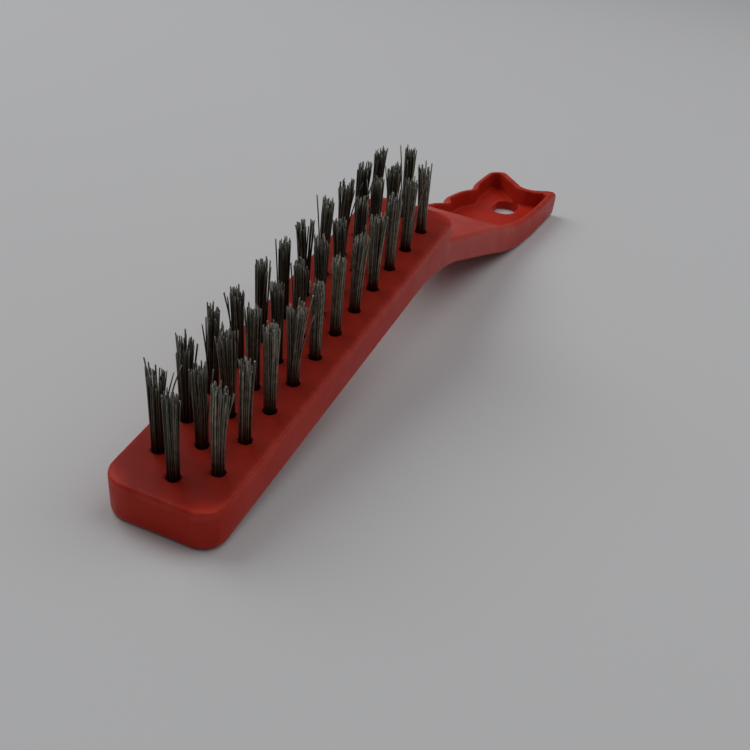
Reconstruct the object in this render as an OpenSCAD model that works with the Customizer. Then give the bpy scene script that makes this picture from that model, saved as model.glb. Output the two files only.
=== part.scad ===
// Hand wire brush: a one-piece moulded head and cranked grip carrying three
// staggered rows of steel wire tufts, each folded over a flat anchor staple.
// Millimetres. Z up, wires uppermost, the brush resting on the front edge of
// its head and on the flat underside of its grip. X runs from head to grip,
// the origin is on the ground under the middle of the brush.

/* [Head block] */
// Length of the block that carries the tufts
head_l = 117; // [112:1:125]
// Width of the block
head_w = 23.4; // [20:0.2:28]
// Thickness of the block
head_t = 9; // [8:0.1:10.5]
// Plan radius of the block's four corners
head_corner_r = 5; // [2:0.5:8]
// Rounding along the top and bottom edges of the block
head_edge_r = 0.8; // [0.4:0.1:1.4]
// Angle at which the block rises from its front edge towards the grip
head_rise = 11; // [9:0.5:13]

/* [Tufts] */
// Spacing of the tufts along a row
tuft_pitch = 9.5; // [8:0.25:9.75]
// Distance of each outer row from the middle row
row_gap = 6.1; // [4.5:0.1:7]
// Tufts in the middle row, each outer row has one fewer
middle_count = 12; // [6:1:12]
// Diameter of the blind holes that hold the tufts
tuft_hole_d = 2.6; // [2.2:0.1:3.2]
// Depth of the blind holes
tuft_hole_depth = 6.4; // [5:0.1:6.6]
// Height of the wire tips above the block
wire_out = 17.2; // [12:0.2:26]
// Across-corner size of one wire strand
wire_d = 0.56; // [0.4:0.02:0.7]
// Strands standing in the outer ring of a tuft
ring_wires = 6; // [5:1:9]
// Strands standing inside the ring
core_wires = 3; // [2:1:4]
// Lean of the ring strands away from the tuft axis
splay = 2.6; // [0:0.1:5]

/* [Anchors] */
// Length of one flat anchor staple, longer than the hole is wide
anchor_l = 3.6; // [3.4:0.1:4.2]
// Height of one anchor staple
anchor_h = 1.6; // [1:0.1:2.2]
// Thickness of the anchor strip
anchor_t = 0.4; // [0.3:0.05:0.6]

/* [Grip] */
// Distance from the front edge of the head to the tip of the grip
grip_end = 235.5; // [230:0.5:240]
// Thickness of the flat part of the grip
grip_t = 8.8; // [7.6:0.1:10]
// Start of the flat underside of the grip
grip_flat_x = 200; // [194:1:204]
// Rounding of the grip's upper long edges
grip_edge_r = 2.2; // [1:0.1:2.6]
// Rounding of the grip's lower long edges
grip_foot_r = 1.4; // [0.6:0.1:2.4]
// Spacing of the finger lobes along the left edge
lobe_pitch = 24; // [20:0.5:25]
// Depth of the notch between two finger lobes
lobe_depth = 2.5; // [0.5:0.1:3]
// Width of the rim around the grip's recess
rim_w = 2.2; // [1.8:0.1:2.6]
// Depth of the recess inside the rim
recess_depth = 5.8; // [3:0.1:6]
// Start of the recess
recess_x = 163; // [158:1:172]
// Radius at the bottom of the notch in the tail
tail_notch_r = 3.4; // [2:0.1:4]

/* [Hang slot] */
// Overall length of the hang slot
slot_l = 14.4; // [10:0.2:14.6]
// Width of the hang slot
slot_w = 7.4; // [6:0.2:7.6]
// Centre of the slot from the front edge of the head
slot_x = 215.2; // [212:0.2:215.4]
// Sideways centre of the slot
slot_y = 0.2; // [-1:0.1:1]

/* [Hidden] */
ROWS = ["left", "middle", "right"];
$fn = 24;
red = "#a8231d";
steel = "#5b5a52";
front_x = head_edge_r * (cos(head_rise) - 1) - (head_t - head_edge_r) * sin(head_rise);
origin_x = (grip_end + front_x) / 2;
row_y = [row_gap, 0, -row_gap];
first_x = (head_l - (middle_count - 1) * tuft_pitch) / 2;
hole_floor = head_t - tuft_hole_depth;
anchor_floor = hole_floor + 0.5;
root_d = tuft_hole_d - 0.1;
root_top = head_t - 0.4;
strand_foot = root_top - 1.6;
notch_x = grip_end - 50.5;
tail_r = 5;

// ---------------------------------------------------------------- layout

// Number of tufts in a row, and the name of one tuft.
function count_in(row) = row == 1 ? middle_count : middle_count - 1;
function tuft_name(row, i) = str("tuft_", ROWS[row], "_", i < 9 ? "0" : "", i + 1);

// Distance of tuft i of a row along the block.
function tuft_x(row, i) = first_x + (i + (row == 1 ? 0 : 0.5)) * tuft_pitch;

// From the block's own frame, front edge at zero and underside flat, to the
// resting position.
module on_head() {
    translate([-origin_x, 0, head_drop]) rotate([0, -head_rise, 0]) children();
}
// The rounded front edge sinks this far before it meets the ground.
head_drop = -head_edge_r * (sin(head_rise) + cos(head_rise) - 1);

// ---------------------------------------------------------------- handle

// Smooth step from 0 at a to 1 at b.
function ease(x, a, b) =
    let (t = max(0, min(1, (x - a) / (b - a)))) t * t * (3 - 2 * t);

// Underside of the head block, and the line falling from it to the grip.
function block_line(x) = x * tan(head_rise);
function neck_line(x) =
    let (h = (grip_flat_x - 16 - x) * 0.255)
    h > 4 ? h : (h < -4 ? 0 : pow(h + 4, 2) / 16);

// Height of the underside at distance x: the lower of the two lines, with the
// crest between them rounded off over a height of k.
function under(x) =
    let (k = 9, a = block_line(x), b = neck_line(x), h = max(0, k - abs(a - b)) / k)
    min(a, b) - h * h * k / 4;

// Thickness of the neck and grip at distance x.
function thick(x) = grip_t - 1.2 * (1 - ease(x, 120, 160));

// A finger notch centred at c.
function notch(x, c) = lobe_depth * exp(-pow((x - c) / 4.2, 2));

// Left edge of the neck and grip: a tapering line broken by finger notches.
function left_edge(x) =
    head_w / 2 - 0.1 + 3.9 * ease(x, 125, 168) - 2.7 * ease(x, 190, 216)
    - 0.7 * notch(x, notch_x - lobe_pitch) - notch(x, notch_x)
    - 0.7 * notch(x, notch_x + lobe_pitch);

// Right edge: smooth, swelling a little towards the tail.
function right_edge(x) = 0.1 - head_w / 2 - 2 * ease(x, 150, 212);

// How far both edges draw in around the rounded tail.
function tail_in(x) =
    let (u = max(0, x - (grip_end - tail_r)))
    tail_r - sqrt(max(0, tail_r * tail_r - u * u));

// Section across the grip at distance x, an upright rectangle with four
// corners rounded in n steps each.
function section(x, n) =
    let (
        r = grip_edge_r, q = grip_foot_r,
        yl = left_edge(x) - tail_in(x),
        yr = right_edge(x) + tail_in(x),
        zb = under(x) - 0.15,
        zt = under(x) + thick(x)
    )
    [for (c = [[yl - r, zt - r, r, 0], [yr + r, zt - r, r, 90],
               [yr + q, zb + q, q, 180], [yl - q, zb + q, q, 270]])
        for (i = [0:n])
            let (a = c[3] + 90 * i / n) [x, c[0] + c[2] * cos(a), c[1] + c[2] * sin(a)]];

// Section of the space above the recess floor at distance x. The floor runs
// below the upper face and climbs out to it at the neck.
function recess_section(x) =
    let (z = under(x) + thick(x) - recess_depth * ease(x, recess_x, recess_x + 14) + 0.02)
    [[x, 30, z], [x, 30, 50], [x, -30, 50], [x, -30, z]];

// Closed skin through a list of sections of equal length.
module skin(sections) {
    m = len(sections[0]);
    n = len(sections);
    sides = [for (i = [0:n - 2]) for (j = [0:m - 1])
        let (k = (j + 1) % m, a = i * m, b = (i + 1) * m)
        each [[a + j, b + j, b + k], [a + j, b + k, a + k]]];
    polyhedron(
        points = [for (s = sections) each s],
        faces = concat([[for (j = [0:m - 1]) j]], sides,
                       [[for (j = [m - 1:-1:0]) (n - 1) * m + j]]),
        convexity = 6
    );
}

// Slab with rounded corners in plan and rounded top and bottom edges.
module rounded_slab(l, w, t, rc, re) {
    corners = [[rc, rc - w / 2, 180], [l - rc, rc - w / 2, 270],
               [l - rc, w / 2 - rc, 0], [rc, w / 2 - rc, 90]];
    translate([rc, -w / 2, re]) cube([l - 2 * rc, w, t - 2 * re]);
    translate([re, rc - w / 2, 0]) cube([l - 2 * re, w - 2 * rc, t]);
    translate([rc, re - w / 2, 0]) cube([l - 2 * rc, w - 2 * re, t]);
    translate([0, rc - w / 2, re]) cube([l, w - 2 * rc, t - 2 * re]);
    for (z = [re, t - re]) {
        for (y = [re - w / 2, w / 2 - re])
            translate([rc, y, z]) rotate([0, 90, 0]) cylinder(r = re, h = l - 2 * rc);
        for (x = [re, l - re])
            translate([x, rc - w / 2, z]) rotate([-90, 0, 0]) cylinder(r = re, h = w - 2 * rc);
    }
    for (c = corners)
        translate([c[0], c[1], 0]) rotate_extrude() corner_profile(rc, t, re);
}

// Half section of a filleted disc.
module corner_profile(rc, t, re) {
    square([rc - re, t]);
    translate([0, re]) square([rc, t - 2 * re]);
    for (z = [re, t - re]) translate([rc - re, z]) circle(r = re);
}

// Neck and grip, from inside the block to the tail.
module grip_solid() {
    stations = concat([for (x = [86:5:166]) x], [for (x = [169:3:grip_end - 7]) x],
                      [for (u = [0:5]) grip_end - tail_r * (1 - sin(18 * u))]);
    intersection() {
        translate([-origin_x, 0, 0]) skin([for (x = stations) section(x, 3)]);
        translate([-origin_x, -40, 0]) cube([grip_end + 20, 80, 60]);
    }
}

// Plan outline of the grip, with the notch that gives its tail two points.
module grip_outline() {
    xs = concat([for (x = [150:3:grip_end - 7]) x],
                [for (u = [0:5]) grip_end - tail_r * (1 - sin(18 * u))]);
    right = [for (x = xs) [x, right_edge(x) + tail_in(x)]];
    left = [for (i = [len(xs) - 1:-1:0]) [xs[i], left_edge(xs[i]) - tail_in(xs[i])]];
    difference() {
        polygon(concat(right, left));
        tail_notch();
    }
}

// The notch itself, a wedge with a round bottom.
module tail_notch() {
    translate([grip_end - 8.6, -4.4]) hull() {
        circle(r = tail_notch_r);
        translate([31, 25]) circle(r = tail_notch_r);
        translate([25, -31]) circle(r = tail_notch_r);
    }
}

// Recess in the upper face of the grip, following its outline inside the rim.
module grip_recess() {
    stations = [for (x = [recess_x + 0.5:4:grip_end]) x];
    translate([-origin_x, 0, 0]) intersection() {
        skin([for (x = stations) recess_section(x)]);
        linear_extrude(60) offset(r = 1.6) offset(delta = -rim_w - 1.6) grip_outline();
    }
}

// Slot for hanging the brush.
module hang_slot() {
    half = (slot_l - slot_w) / 2;
    translate([slot_x - origin_x, slot_y, -1]) {
        for (s = [-1, 1]) translate([s * half, 0, 0]) cylinder(d = slot_w, h = grip_t + 2);
        translate([-half, -slot_w / 2, 0]) cube([2 * half, slot_w, grip_t + 2]);
    }
}

module handle_body() {
    color(red) difference() {
        union() {
            on_head() rounded_slab(head_l, head_w, head_t, head_corner_r, head_edge_r);
            grip_solid();
        }
        on_head() for (row = [0:2]) for (i = [0:count_in(row) - 1])
            translate([tuft_x(row, i), row_y[row], hole_floor])
                cylinder(d = tuft_hole_d, h = tuft_hole_depth + 1, $fn = 14);
        on_head() for (row = [0:2]) for (i = [0:count_in(row) - 1]) anchor_blank(row, i);
        hang_slot();
        grip_recess();
        translate([-origin_x, 0, -1]) linear_extrude(grip_t + 2) tail_notch();
    }
}

// ---------------------------------------------------------------- wires

// Space taken by the anchor staple of one tuft.
module anchor_blank(row, i) {
    translate([tuft_x(row, i) - anchor_t / 2, row_y[row] - anchor_l / 2, anchor_floor])
        cube([anchor_t, anchor_l, anchor_h]);
}

module anchors(row) {
    color("silver") on_head() for (i = [0:count_in(row) - 1]) anchor_blank(row, i);
}

// One strand, from its foot inside the root to its cut tip.
module strand(r, a, lean, turn, tip) {
    rotate([0, 0, a]) translate([r, 0, strand_foot]) rotate([turn, lean, 0])
        cylinder(d = wire_d, h = tip + head_t - strand_foot, $fn = 4);
}

// One tuft: the folded root, slotted over its anchor, and its strands.
module tuft(row, i) {
    seed = 100 * row + i + 1;
    n = ring_wires + core_wires;
    lean = rands(-1.1, 1.5, n, seed);
    turn = rands(-1.6, 1.6, n, seed + 500);
    cut = rands(-1.3, 0.5, n, seed + 900);
    color(steel) on_head() difference() {
        translate([tuft_x(row, i), row_y[row], 0]) {
            translate([0, 0, hole_floor])
                cylinder(d = root_d, h = root_top - hole_floor, $fn = 14);
            for (k = [0:ring_wires - 1])
                strand(root_d * 0.36, 360 * k / ring_wires + 17 * i, splay + lean[k],
                       turn[k], wire_out + cut[k]);
            for (k = [0:core_wires - 1])
                strand(root_d * 0.15, 360 * k / core_wires + 31 * i,
                       splay * 0.4 + lean[ring_wires + k], turn[ring_wires + k],
                       wire_out + cut[ring_wires + k]);
        }
        anchor_blank(row, i);
    }
}

handle_body();
anchors(0);  // anchors_left
anchors(1);  // anchors_middle
anchors(2);  // anchors_right
for (row = [0:2]) for (i = [0:count_in(row) - 1])
    tuft(row, i);
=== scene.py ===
import math

import bpy
import numpy as np
from mathutils import Euler, Matrix, Vector


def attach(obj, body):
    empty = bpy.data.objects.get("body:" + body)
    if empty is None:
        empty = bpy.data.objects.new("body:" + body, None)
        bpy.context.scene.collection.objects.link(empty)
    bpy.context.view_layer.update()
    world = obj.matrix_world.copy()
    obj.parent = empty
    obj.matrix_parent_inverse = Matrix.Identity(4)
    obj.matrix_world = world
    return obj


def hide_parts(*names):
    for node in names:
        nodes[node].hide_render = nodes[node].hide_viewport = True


# A red moulded wire brush lying on a pale bench with its wires upwards.
# Metres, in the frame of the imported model: +X runs from the head to the grip's tail,
# +Y towards the finger lobes, +Z up.

# ------------------------------------------------------------------ sizes

MM_PER_METRE = 1000

BLOCK_RISE = math.radians(11)        # slope of the head block
WIRE_UP = np.array([-math.sin(BLOCK_RISE), 0.0, math.cos(BLOCK_RISE)])
BLOCK_ALONG = np.array([math.cos(BLOCK_RISE), 0.0, math.sin(BLOCK_RISE)])
BLOCK_ACROSS = np.array([0.0, 1.0, 0.0])

HOLE_DEPTH = 0.0064                  # depth of a tuft's blind hole
WIRE_OUT = 0.0172                    # wires stand this far out of the block
WIRE_BURIED = 0.0015                 # and start this far below its face
WIRE_RADIUS = 0.00014
WIRES_PER_TUFT = 44
BUNDLE_RADIUS = 0.00116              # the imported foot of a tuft
WIRE_RINGS = 6                       # rings of points along one wire
WIRE_SIDES = 6

# How each tuft has set in use, from the head's front edge to its rear: lean along the block,
# lean across it and extra length, in millimetres at the tips.
TUFT_SET = {
    "left": (
        (0.2, -0.2, 0.2), (0.2, -0.1, 0.3), (0.6, 0.0, 1.1), (0.0, 0.2, 0.2), (0.3, 0.3, 0.8),
        (0.2, 0.2, 0.5), (0.0, 0.5, 0.4), (0.3, -0.4, 0.5), (0.3, -0.5, 0.4), (0.3, -0.1, 0.7),
        (0.2, -0.2, 0.3),
    ),
    "middle": (
        (0.3, 0.0, 0.5), (0.0, 0.2, 0.2), (0.3, 0.4, 0.8), (0.3, 0.2, 0.7), (0.1, 0.3, 0.4),
        (0.2, 0.2, 0.5), (0.0, 0.3, 0.3), (0.0, 0.4, 0.1), (0.2, 0.1, 0.6), (0.2, 0.2, 0.6),
        (0.0, 0.0, 0.0), (0.0, 0.1, -0.1),
    ),
    "right": (
        (0.7, -0.2, 1.0), (0.2, -0.3, 0.2), (0.5, 0.2, 1.1), (0.4, -0.3, 0.6), (0.1, 0.0, 0.1),
        (0.3, 0.1, 0.8), (0.1, 0.0, 0.3), (0.2, 0.1, 0.5), (0.2, 0.3, 0.8), (0.0, 0.3, 0.2),
        (-0.3, 0.6, -0.4),
    ),
}
# Tufts whose wires have parted into clumps, and how far.
PARTED = {
    "wires_left_01": 0.0006,
    "wires_left_02": 0.0004,
    "wires_left_07": 0.0005,
    "wires_left_09": 0.0004,
    "wires_right_04": 0.0004,
}
# Tone of a row's wires, from 0 for dull to 1 for bright: the lowest and the range above it.
# The rows differ by painted light: the right row is painted brighter and the left row darker.
ROW_TONE_AND_LIGHT = {"left": (0.00, 0.38), "middle": (0.05, 0.70), "right": (0.42, 0.58)}
TONE_POWER = 2.4                     # over 1, so that most wires are near the lowest tone

# How loosely the wires of a tuft stand. A lean is at the tips, and a length is extra.
CLUMPS = 3                           # a tuft's wires part into this many
PARTING = 0.0002                     # the most that sound clumps lean apart
CLUMP_MIXING = 0.0002                # wires nearer than this to a border may change clump
CLUMP_LEAN = 0.00014                 # spread of the clumps' leans
CLUMP_LENGTH = (-0.0006, 0.0004)
FOOT_SCATTER = 0.00004               # spread of the feet about their packed places
WIRE_LEAN = 0.00013                  # spread of the single wires' leans
WIRE_LENGTH = (-0.0017, 0.0008)
WIRE_WAVE = 0.00004                  # spread of the waves' heights
WAVE_TURN = 5.0                      # radians of the wave along a wire
WAVE_START = 6.0                     # the most radians that a wave starts at
SPLAY = (-0.05, 0.28)                # widening at the tips, over the width at the foot
WIDE_SPLAY = 0.65                    # the most that a few wires widen beyond that
WIDE_POWER = 5                       # the higher it is, the fewer they are
SPLAY_RISE = 1.7                     # the power of height with which the splay grows
STRAY_SHARE = 0.055                  # this share of the wires has been bent out of the tuft
STRAY_LEAN = 3.0                     # and leans this many times as far,
STRAY_SPLAY = 0.8                    # plus this share of its place in the bundle
TIP_SLOPE = 1.3                      # steepness of the cut ends
FIRST_SEED = 400                     # each tuft has the next seed

# The handle's skin, and the grime and painted shade on the block's face.
SKIN_CELL = 0.00049                  # grid that the skin is rebuilt on
SKIN_RELAX = 3                       # rounds of smoothing
EDGE_ROUNDS = 3                      # rounds of averaging that find the edges
SHARP_EDGE = 0.12 * SKIN_CELL        # a bulge of this height counts as a full edge
BLEND_ROUNDS = 116                   # rounds of blending of the normals
BROAD_ROUNDS = 6                     # the first of them blend over wider turns
BROAD_TURN = 0.094                   # 1 - cos of 25 degrees
FINE_TURN = 0.015                    # 1 - cos of 10 degrees
FACE_FADE = 0.0004                   # grime and painted shade end this far below the block's face
GRIME_AND_SHADE_END = 0.00735                   # and this far behind the last tuft's axis
# Masks round the tufts: the distance from a tuft's axis at which a mask starts to fade, and
# the width of its fade.
HOLE_MOUTH = (0.0020, 0.0008)
# Painted shade in the mouth of each hole.
HOLE_MOUTH_SHADE = (0.00130, 0.00030)
# Grime with painted shade from the tufts on the block's face.
TUFT_GRIME_AND_SHADE = (0.0070, 0.0030)

BENCH_HALF = 4.0                     # half the bench's side

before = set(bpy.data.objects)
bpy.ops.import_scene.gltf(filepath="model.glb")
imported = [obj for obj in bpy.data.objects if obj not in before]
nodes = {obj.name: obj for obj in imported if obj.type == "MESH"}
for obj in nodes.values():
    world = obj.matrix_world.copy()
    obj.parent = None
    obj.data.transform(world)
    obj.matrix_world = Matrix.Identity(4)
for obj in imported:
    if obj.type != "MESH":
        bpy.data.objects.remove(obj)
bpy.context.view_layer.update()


# ------------------------------------------------------------------ meshes

def coordinates(mesh):
    """All vertex positions of a mesh as an (n, 3) array."""
    flat = np.empty(len(mesh.vertices) * 3)
    mesh.vertices.foreach_get("co", flat)
    return flat.reshape(-1, 3)


def vertex_normals(mesh):
    """All vertex normals of a mesh as an (n, 3) array."""
    flat = np.empty(len(mesh.vertices) * 3)
    mesh.vertices.foreach_get("normal", flat)
    return flat.reshape(-1, 3)


def edge_ends(mesh):
    """The two vertex numbers of every edge as an (n, 2) array."""
    flat = np.empty(len(mesh.edges) * 2, dtype=np.int64)
    mesh.edges.foreach_get("vertices", flat)
    return flat.reshape(-1, 2)


def neighbour_sum(ends, values, weight=1.0):
    """For each vertex, the sum of its neighbours' rows of values, each times the weight of the
    edge between."""
    first, second = ends.T
    total = np.empty_like(values)
    for axis, column in enumerate(values.T):
        total[:, axis] = (
            np.bincount(first, weight * column[second], len(values))
            + np.bincount(second, weight * column[first], len(values))
        )
    return total


def add_object(name, data):
    """A new object of a mesh, a lamp or a camera, at the origin."""
    added = bpy.data.objects.new(name, data)
    bpy.context.scene.collection.objects.link(added)
    return added


def mesh_from_arrays(name, points, groups):
    """A mesh from points (n, 3) and groups, a list of (m, k) arrays of corner numbers, one
    array for each number of corners k."""
    mesh = bpy.data.meshes.new(name)
    corners = np.concatenate([group.ravel() for group in groups])
    totals = np.concatenate([np.full(len(group), group.shape[1]) for group in groups])
    starts = np.concatenate([[0], np.cumsum(totals)[:-1]])
    mesh.vertices.add(len(points))
    mesh.vertices.foreach_set("co", points.ravel())
    mesh.loops.add(len(corners))
    mesh.loops.foreach_set("vertex_index", corners.astype(np.int32))
    mesh.polygons.add(len(totals))
    mesh.polygons.foreach_set("loop_start", starts.astype(np.int32))
    mesh.update(calc_edges=True)
    return mesh


def set_point_values(mesh, name, values):
    """Stores one number for each vertex, for a material to read."""
    layer = mesh.attributes.new(name, "FLOAT", "POINT")
    layer.data.foreach_set("value", np.asarray(values, dtype=np.float32))


# ------------------------------------------------------------------ materials

class Finish:
    """A node material with short calls for the patterns that it is built from."""

    def __init__(self, name):
        self.material = bpy.data.materials.new(name)
        self.material.use_nodes = True
        self.tree = self.material.node_tree
        self.shader = self.tree.nodes["Principled BSDF"]
        self.place = self.tree.nodes.new("ShaderNodeTexCoord").outputs["Object"]

    def link(self, source, target):
        self.tree.links.new(source, target)

    def feed(self, socket, source):
        """Links a pattern to one of the shader's sockets."""
        self.link(source, self.shader.inputs[socket])

    def level(self, socket, number):
        """Sets one of the shader's sockets, the same all over the surface."""
        self.shader.inputs[socket].default_value = number

    def noise(self, scale, detail=3.0, roughness=0.5, stretch=None):
        """Soft noise with features about 1/scale metres wide, from 0 to 1. A stretch scales
        the noise along the block, across it and along the wires."""
        node = self.tree.nodes.new("ShaderNodeTexNoise")
        node.inputs["Scale"].default_value = scale
        node.inputs["Detail"].default_value = detail
        node.inputs["Roughness"].default_value = roughness
        source = self.place
        if stretch:
            mapping = self.tree.nodes.new("ShaderNodeMapping")
            mapping.inputs["Rotation"].default_value = (0.0, -BLOCK_RISE, 0.0)
            mapping.inputs["Scale"].default_value = stretch
            self.link(self.place, mapping.inputs["Vector"])
            source = mapping.outputs["Vector"]
        self.link(source, node.inputs["Vector"])
        return node.outputs["Fac"]

    def attribute(self, name):
        """The numbers that set_point_values stored under this name."""
        node = self.tree.nodes.new("ShaderNodeAttribute")
        node.attribute_name = name
        return node.outputs["Fac"]

    def remap(self, value, low, high, to_low=0.0, to_high=1.0):
        """Straight-line map of value from low..high to to_low..to_high, clamped."""
        node = self.tree.nodes.new("ShaderNodeMapRange")
        for socket, number in zip(node.inputs[1:5], (low, high, to_low, to_high)):
            socket.default_value = number
        self.link(value, node.inputs[0])
        return node.outputs[0]

    def math(self, kind, a, b):
        """The sum or product of two patterns, or of a pattern and a number."""
        node = self.tree.nodes.new("ShaderNodeMath")
        node.operation = kind
        for socket, value in zip(node.inputs, (a, b)):
            if isinstance(value, (int, float)):
                socket.default_value = value
            else:
                self.link(value, socket)
        return node.outputs[0]

    def mix(self, amount, first, second):
        """first where amount is 0, second where it is 1. Colours are triples or sockets."""
        node = self.tree.nodes.new("ShaderNodeMix")
        node.data_type = "RGBA"
        self.link(amount, node.inputs["Factor"])
        for socket, value in ((node.inputs[6], first), (node.inputs[7], second)):
            if isinstance(value, tuple):
                socket.default_value = (*value, 1.0)
            else:
                self.link(value, socket)
        return node.outputs[2]

    def tint(self, colour, mask, share, over):
        """colour, with share of the colour over laid on it where the mask is 1."""
        return self.mix(self.math("MULTIPLY", mask, share), colour, over)

    def bump(self, height, strength, depth, below=None):
        """Normals of a relief of height, depth metres deep, on top of the relief below."""
        node = self.tree.nodes.new("ShaderNodeBump")
        node.inputs["Strength"].default_value = strength
        node.inputs["Distance"].default_value = depth
        self.link(height, node.inputs["Height"])
        if below:
            self.link(below, node.inputs["Normal"])
        return node.outputs["Normal"]


def red_moulding():
    """Semi-gloss red polypropylene: a faint cloudy flow in the colour, sparse paler specks,
    slightly paler edges that are partly wear and partly a painted highlight, painted shade in
    the mouth of each hole, grime and painted shade from the tufts between them, sparse hairline
    scuffs, a fine moulded grain and a slight waviness."""
    deep_red, light_red = (0.425, 0.0185, 0.0080), (0.495, 0.0260, 0.0115)
    speck_red, worn_and_highlit_red = (0.55, 0.06, 0.04), (0.62, 0.090, 0.058)
    # Near-black painted shade for the hole mouths; dark grime with painted tuft shade for the
    # face.
    painted_hole_shade, face_grime = (0.030, 0.006, 0.005), (0.060, 0.008, 0.005)
    plastic = Finish("red_moulded_plastic")
    cloud = plastic.remap(plastic.noise(55, 4, 0.6), 0.35, 0.68)
    colour = plastic.mix(cloud, deep_red, light_red)
    speck = plastic.remap(plastic.noise(900, 2), 0.66, 0.78)
    colour = plastic.tint(colour, speck, 0.25, speck_red)
    edge = plastic.remap(plastic.attribute("edge"), 0.25, 0.9)
    wear_and_highlight = plastic.math("MULTIPLY", edge, plastic.remap(plastic.noise(260, 4), 0.30, 0.65))
    # Paler edges: partly wear, partly a painted highlight for the light caught on the rounded
    # edges.
    colour = plastic.tint(colour, wear_and_highlight, 0.3, worn_and_highlit_red)
    # Painted shade in the mouth of each hole.
    colour = plastic.tint(colour, plastic.attribute("hole_mouth_shade"), 0.35, painted_hole_shade)
    # Grime and painted shade from the tufts on the block's face, in an uneven share.
    uneven = plastic.remap(plastic.noise(90, 3), 0.2, 0.8, 0.36, 0.52)
    colour = plastic.tint(colour, plastic.attribute("grime"), uneven, face_grime)
    plastic.feed("Base Color", colour)
    scuff = plastic.remap(plastic.noise(420, 5, 0.7, stretch=(0.05, 1.0, 1.0)), 0.60, 0.72)
    haze = plastic.remap(plastic.noise(140, 4, 0.6), 0.3, 0.7, 0.34, 0.46)
    rough = plastic.math("ADD", haze, plastic.math("MULTIPLY", scuff, 0.10))
    plastic.feed("Roughness", rough)
    plastic.level("Specular IOR Level", 0.11)
    grain = plastic.bump(plastic.noise(2600, 2), 0.16, 0.00006)
    wave = plastic.bump(plastic.noise(120, 2), 0.22, 0.00035, grain)
    plastic.feed("Normal", wave)
    return plastic.material


def brush_wire():
    """Dark oil-tempered steel wire: each wire has its own tone, and the right row is painted
    brighter and the left row darker, for how the light falls on them, with darker patches,
    darker and browner towards the foot, and paler on the last stretch and the cut end, as bare
    steel with a painted sheen."""
    dull_steel, bright_steel = (0.078, 0.069, 0.050), (0.400, 0.356, 0.274)
    oil_patch, darker_foot = (0.060, 0.050, 0.038), (0.035, 0.024, 0.018)
    bare_and_sheen_tip = (0.26, 0.265, 0.25)
    wire = Finish("tempered_wire")
    colour = wire.mix(wire.attribute("tone"), dull_steel, bright_steel)
    colour = wire.tint(colour, wire.remap(wire.noise(800, 3), 0.42, 0.62), 0.5, oil_patch)
    height = wire.attribute("height")
    # Darker and browner towards the foot of each wire.
    colour = wire.mix(wire.remap(height, 0.0, 0.45, 0.75, 0.0), colour, darker_foot)
    # Paler last stretch and cut end: bare steel, with a painted sheen for the glints at the
    # tips.
    colour = wire.tint(colour, wire.remap(height, 0.88, 1.0), 0.5, bare_and_sheen_tip)
    wire.feed("Base Color", colour)
    wire.level("Metallic", 1.0)
    wire.feed("Roughness", wire.remap(wire.noise(1500, 3), 0.3, 0.7, 0.40, 0.60))
    wire.feed("Normal", wire.bump(wire.noise(4000, 2), 0.3, 0.00002))
    return wire.material


def staple_strip():
    """Plain bright staple strip, lightly drawn and uneven in its polish."""
    strip = Finish("staple_strip")
    colour = strip.mix(strip.noise(900, 3), (0.42, 0.42, 0.43), (0.60, 0.60, 0.60))
    strip.feed("Base Color", colour)
    strip.level("Metallic", 1.0)
    strip.feed("Roughness", strip.remap(strip.noise(700, 3), 0.3, 0.7, 0.25, 0.42))
    return strip.material


def bench_top():
    """Pale matt bench, very faintly uneven."""
    bench = Finish("pale_bench")
    colour = bench.mix(bench.noise(3, 3), (0.600, 0.603, 0.612), (0.618, 0.620, 0.628))
    bench.feed("Base Color", colour)
    bench.level("Roughness", 0.9)
    bench.level("Specular IOR Level", 0.25)
    return bench.material


# ------------------------------------------------------------------ tuft places

def tuft_feet():
    """Where each tuft's axis meets the floor of its blind hole: the middle of the points of
    the CAD tuft that lie lowest along the wires."""
    slack = 0.00002
    feet = {}
    for name, node in nodes.items():
        if name.startswith("tuft_"):
            points = coordinates(node.data)
            height = points @ WIRE_UP
            lowest = points[height < height.min() + slack]
            feet[name] = (lowest.min(axis=0) + lowest.max(axis=0)) / 2
    return feet


FEET = tuft_feet()


# ------------------------------------------------------------------ handle

def moulded_skin(name, node):
    """The handle as one even, softly rounded skin: the CAD solid rebuilt on a fine grid,
    then relaxed, which gives every edge the small radius of a moulding."""
    rough_copy = add_object(name + "_rough", node.data.copy())
    weld = rough_copy.modifiers.new("weld", "WELD")
    weld.merge_threshold = 1e-6
    grid = rough_copy.modifiers.new("grid", "REMESH")
    grid.mode = "VOXEL"
    grid.voxel_size = SKIN_CELL
    relax = rough_copy.modifiers.new("relax", "SMOOTH")
    relax.factor = 0.5
    relax.iterations = SKIN_RELAX
    solved = rough_copy.evaluated_get(bpy.context.evaluated_depsgraph_get())
    mesh = bpy.data.meshes.new_from_object(solved)
    mesh.name = name
    bpy.data.objects.remove(rough_copy)
    mesh.shade_smooth()
    return mesh


def blend_normals(mesh):
    """Adds to each vertex normal its neighbours' and brings it back to length 1, again and
    again, with a weight that falls in a straight line from 1 for two neighbours that face the
    same way to 0 for a turn of 10 degrees, or 25 in the first rounds. The flats between the
    CAD solid's sections blend into one sweep, and the real edges stay."""
    ends = edge_ends(mesh)
    normals = vertex_normals(mesh)
    for blend_round in range(BLEND_ROUNDS):
        turn = BROAD_TURN if blend_round < BROAD_ROUNDS else FINE_TURN
        likeness = (normals[ends[:, 0]] * normals[ends[:, 1]]).sum(axis=1)
        weight = np.clip((likeness - 1 + turn) / turn, 0, 1)
        normals += neighbour_sum(ends, normals, weight)
        normals /= np.linalg.norm(normals, axis=1, keepdims=True)
    mesh.normals_split_custom_set_from_vertices(normals.tolist())


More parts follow.
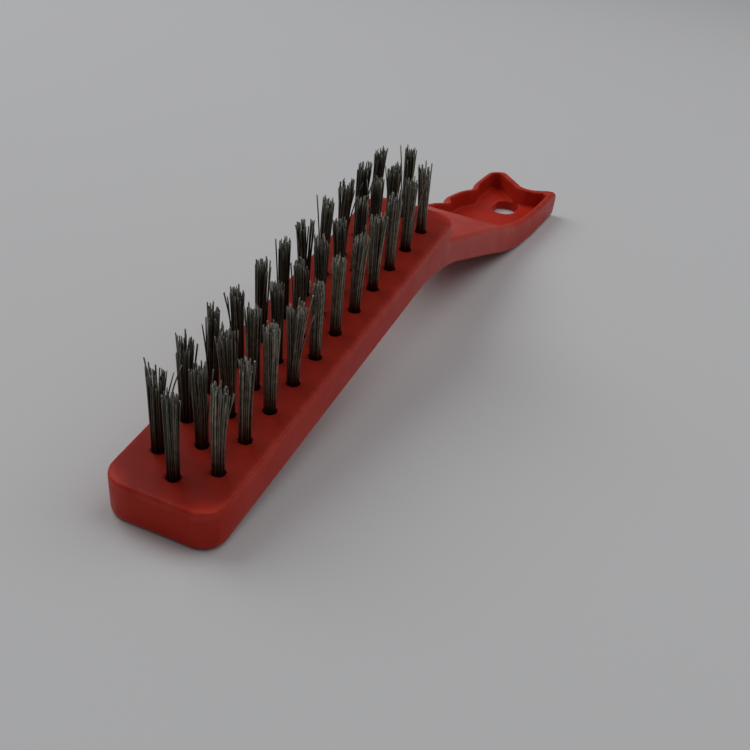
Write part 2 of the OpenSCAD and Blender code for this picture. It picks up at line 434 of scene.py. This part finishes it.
def edge_values(mesh, points):
    """How sharply the skin bulges at each vertex, from 0 for flat or hollow to 1: each round
    moves every vertex to the average of its neighbours, and the value is the sum of these
    moves, against the normal, over SHARP_EDGE."""
    ends = edge_ends(mesh)
    normals = vertex_normals(mesh)
    neighbours = np.bincount(ends.ravel(), minlength=len(points))[:, None]
    bulge = np.zeros(len(points))
    for _ in range(EDGE_ROUNDS):
        average = neighbour_sum(ends, points) / neighbours
        bulge += ((points - average) * normals).sum(axis=1)
        points = average
    return np.clip(bulge / SHARP_EDGE, 0, 1)


def fade_out(distance, start, width):
    """1 up to start, then a straight line down to 0 over the width."""
    return np.clip(1 - (distance - start) / width, 0, 1)


def grime_and_shade_masks(points):
    """Three masks on the block's face, which fade out with the distance to the nearest tuft's
    axis: the first is the hole and its rim, the second is painted shade in the hole's mouth, and
    the third is grime and painted shade from the tufts between them."""
    feet = np.array(list(FEET.values()))
    along, across = points @ BLOCK_ALONG, points @ BLOCK_ACROSS
    nearest = np.full(len(points), np.inf)
    for foot in feet:
        away = np.hypot(along - foot @ BLOCK_ALONG, across - foot @ BLOCK_ACROSS)
        nearest = np.minimum(nearest, away)
    top = feet[0] @ WIRE_UP + HOLE_DEPTH
    on_face = fade_out(top - points @ WIRE_UP, 0, FACE_FADE)
    on_face *= along < (feet @ BLOCK_ALONG).max() + GRIME_AND_SHADE_END
    return [fade_out(nearest, *mask) * on_face for mask in (HOLE_MOUTH, HOLE_MOUTH_SHADE, TUFT_GRIME_AND_SHADE)]


def make_handle(finish):
    """The moulded body. Its edges are painted paler, as wear and as a painted highlight,
    everywhere but at the holes.
    """
    mesh = moulded_skin("moulded_handle", nodes["handle_body"])
    points = coordinates(mesh)
    mouth, hole_mouth_shade, grime = grime_and_shade_masks(points)
    set_point_values(mesh, "edge", edge_values(mesh, points) * (1 - mouth))
    blend_normals(mesh)
    set_point_values(mesh, "hole_mouth_shade", hole_mouth_shade)
    set_point_values(mesh, "grime", grime)
    mesh.materials.clear()
    mesh.materials.append(finish)
    handle = add_object("moulded_handle", mesh)
    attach(handle, "root")
    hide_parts("handle_body")


# ------------------------------------------------------------------ wires

def circle(angle):
    """Points of the unit circle at the angles, (n, 2)."""
    return np.stack([np.cos(angle), np.sin(angle)], axis=1)


def packed_disc(count, radius):
    """count points evenly over a disc: point k is at radius * sqrt((k + 0.5) / count), turned
    by k golden angles."""
    k = np.arange(count)
    golden_angle = math.pi * (3 - math.sqrt(5))
    return radius * np.sqrt((k + 0.5) / count)[:, None] * circle(k * golden_angle)


def wire_paths(rng, tuft_set, parted):
    """Sideways place of every wire at each ring, (wires, rings, 2), and its height over the
    hole's floor, (wires, rings). With t from 0 at the start of a wire to 1 at its tip, the
    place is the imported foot, times 1 plus the wire's splay times t to the power SPLAY_RISE,
    plus its lean times t squared, plus a slight wave times t. The lean and the length are sums
    of the whole tuft's, the clump's and the wire's own."""
    count = WIRES_PER_TUFT
    t = np.linspace(0, 1, WIRE_RINGS)[None, :, None]
    foot = packed_disc(count, BUNDLE_RADIUS) + rng.normal(0, FOOT_SCATTER, (count, 2))
    clump_turn = np.arange(CLUMPS) * 2 * math.pi / CLUMPS
    clump_way = circle(rng.uniform(0, 2 * math.pi) + clump_turn)
    nearness = foot @ clump_way.T + rng.normal(0, CLUMP_MIXING, (count, CLUMPS))
    clump = np.argmax(nearness, axis=1)
    parting = PARTING * rng.random() + parted
    clump_lean = rng.normal(0, CLUMP_LEAN, (CLUMPS, 2)) + clump_way * parting
    clump_length = rng.uniform(*CLUMP_LENGTH, CLUMPS) + tuft_set[2]
    splay = rng.uniform(*SPLAY, (count, 1, 1))
    splay += WIDE_SPLAY * rng.random((count, 1, 1)) ** WIDE_POWER
    lean = (clump_lean[clump] + rng.normal(0, WIRE_LEAN, (count, 2)))[:, None, :]
    foot = foot[:, None, :]
    stray = rng.random((count, 1, 1)) < STRAY_SHARE
    lean = np.where(stray, lean * STRAY_LEAN + foot * STRAY_SPLAY, lean) + tuft_set[:2]
    sway = rng.normal(0, WIRE_WAVE, (count, 1, 2))
    wave = sway * np.sin(t * WAVE_TURN + rng.uniform(0, WAVE_START, (count, 1, 1)))
    sideways = foot * (1 + splay * t**SPLAY_RISE) + lean * t**2 + wave * t
    own_length = rng.uniform(*WIRE_LENGTH, (count, 1))
    out = WIRE_OUT + clump_length[clump][:, None] + own_length
    height = HOLE_DEPTH - WIRE_BURIED + (out + WIRE_BURIED) * t[..., 0]
    return sideways, height


def tuft_surface(name, foot, rng, tuft_set, parted, row_tone_and_light):
    """All wires of one tuft. Around each point of a wire's path is a ring of points at one
    wire radius, and the last ring is tipped, because the wires are cut and not ground. Each
    end is closed by one flat face."""
    sideways, height = wire_paths(rng, tuft_set, parted)
    shape = (WIRES_PER_TUFT, WIRE_RINGS, WIRE_SIDES)
    ring = WIRE_RADIUS * circle(np.arange(WIRE_SIDES) * 2 * math.pi / WIRE_SIDES)
    flat = sideways[:, :, None, :] + ring
    up = np.repeat(height[:, :, None], WIRE_SIDES, axis=2)
    up[:, -1, :] += rng.normal(0, TIP_SLOPE, (WIRES_PER_TUFT, 2)) @ ring.T
    points = (
        foot
        + flat[..., :1] * BLOCK_ALONG
        + flat[..., 1:] * BLOCK_ACROSS
        + up[..., None] * WIRE_UP
    )
    number = np.arange(up.size).reshape(shape)
    turned = np.roll(number, -1, axis=2)
    walls = np.stack([number[:, :-1], turned[:, :-1], turned[:, 1:], number[:, 1:]], axis=-1)
    walls = walls.reshape(-1, 4)
    caps = np.concatenate([number[:, 0, ::-1], number[:, -1]])
    mesh = mesh_from_arrays(name, points.reshape(-1, 3), [walls, caps])
    smooth = np.concatenate([np.ones(len(walls), bool), np.zeros(len(caps), bool)])
    mesh.polygons.foreach_set("use_smooth", smooth)
    # A row's lowest tone and range hold painted light: the right row brighter, the left darker.
    lowest, range_above = row_tone_and_light
    tone = lowest + range_above * rng.random((WIRES_PER_TUFT, 1, 1)) ** TONE_POWER
    rise = np.linspace(0, 1, WIRE_RINGS)[None, :, None]
    set_point_values(mesh, "tone", np.broadcast_to(tone, shape).ravel())
    set_point_values(mesh, "height", np.broadcast_to(rise, shape).ravel())
    return mesh


def make_tufts(finish):
    """One piece of wires for each CAD tuft, set as TUFT_SET and PARTED say."""
    for number, (node_name, foot) in enumerate(sorted(FEET.items())):
        row, place = node_name.split("_")[1:]
        name = f"wires_{row}_{place}"
        rng = np.random.default_rng(FIRST_SEED + number)
        tuft_set = np.array(TUFT_SET[row][int(place) - 1]) / MM_PER_METRE
        mesh = tuft_surface(name, foot, rng, tuft_set, PARTED.get(name, 0.0), ROW_TONE_AND_LIGHT[row])
        mesh.materials.append(finish)
        tuft = add_object(name, mesh)
        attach(tuft, "root")
        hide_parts(node_name)


def finish_anchors(finish):
    """The anchors keep their CAD shape, with a strip finish."""
    for name in ("anchors_left", "anchors_middle", "anchors_right"):
        nodes[name].data.materials.clear()
        nodes[name].data.materials.append(finish)


# ------------------------------------------------------------------ studio

def soft_light(name, place, size, power):
    """A round soft light, size metres across, that looks at the origin."""
    lamp = bpy.data.lights.new(name, "AREA")
    lamp.shape = "DISK"
    lamp.size = size
    lamp.energy = power
    light = add_object(name, lamp)
    light.location = place
    light.rotation_euler = (-Vector(place)).to_track_quat("-Z", "Y").to_euler()


def make_studio():
    """A square bench under the brush, a window light high up on the side of the lobes, a
    ceiling light on the other side and a faint even room light."""
    corners = BENCH_HALF * np.array([[-1, -1, 0], [1, -1, 0], [1, 1, 0], [-1, 1, 0]])
    bench = add_object("bench", mesh_from_arrays("bench", corners, [np.array([[0, 1, 2, 3]])]))
    bench.data.materials.append(bench_top())
    soft_light("window", place=(0.04, 1.00, 1.15), size=1.3, power=8.7)
    soft_light("ceiling", place=(0.42, -0.55, 1.35), size=1.5, power=6.8)
    world = bpy.data.worlds.new("room")
    world.use_nodes = True
    background = world.node_tree.nodes["Background"]
    background.inputs["Color"].default_value = (0.98, 0.99, 1.0, 1.0)
    background.inputs["Strength"].default_value = 0.18
    bpy.context.scene.world = world
    bpy.context.scene.view_settings.view_transform = "Standard"


def make_camera():
    """Close to the head, looking down along the brush, with the camera rolled a little."""
    heading, down, roll = math.radians(18.07), math.radians(27.71), math.radians(9.84)
    lens = bpy.data.cameras.new("camera")
    lens.sensor_width = 36.0
    lens.lens = 51.66
    lens.clip_start = 0.01
    camera = add_object("camera", lens)
    looking = Euler((math.pi / 2 - down, 0.0, heading - math.pi / 2)).to_matrix()
    camera.location = (-0.24921, -0.07758, 0.11696)
    camera.rotation_euler = (looking @ Matrix.Rotation(roll, 3, "Z")).to_euler()
    bpy.context.scene.camera = camera


make_handle(red_moulding())
make_tufts(brush_wire())
finish_anchors(staple_strip())
make_studio()
make_camera()

bpy.context.view_layer.update()
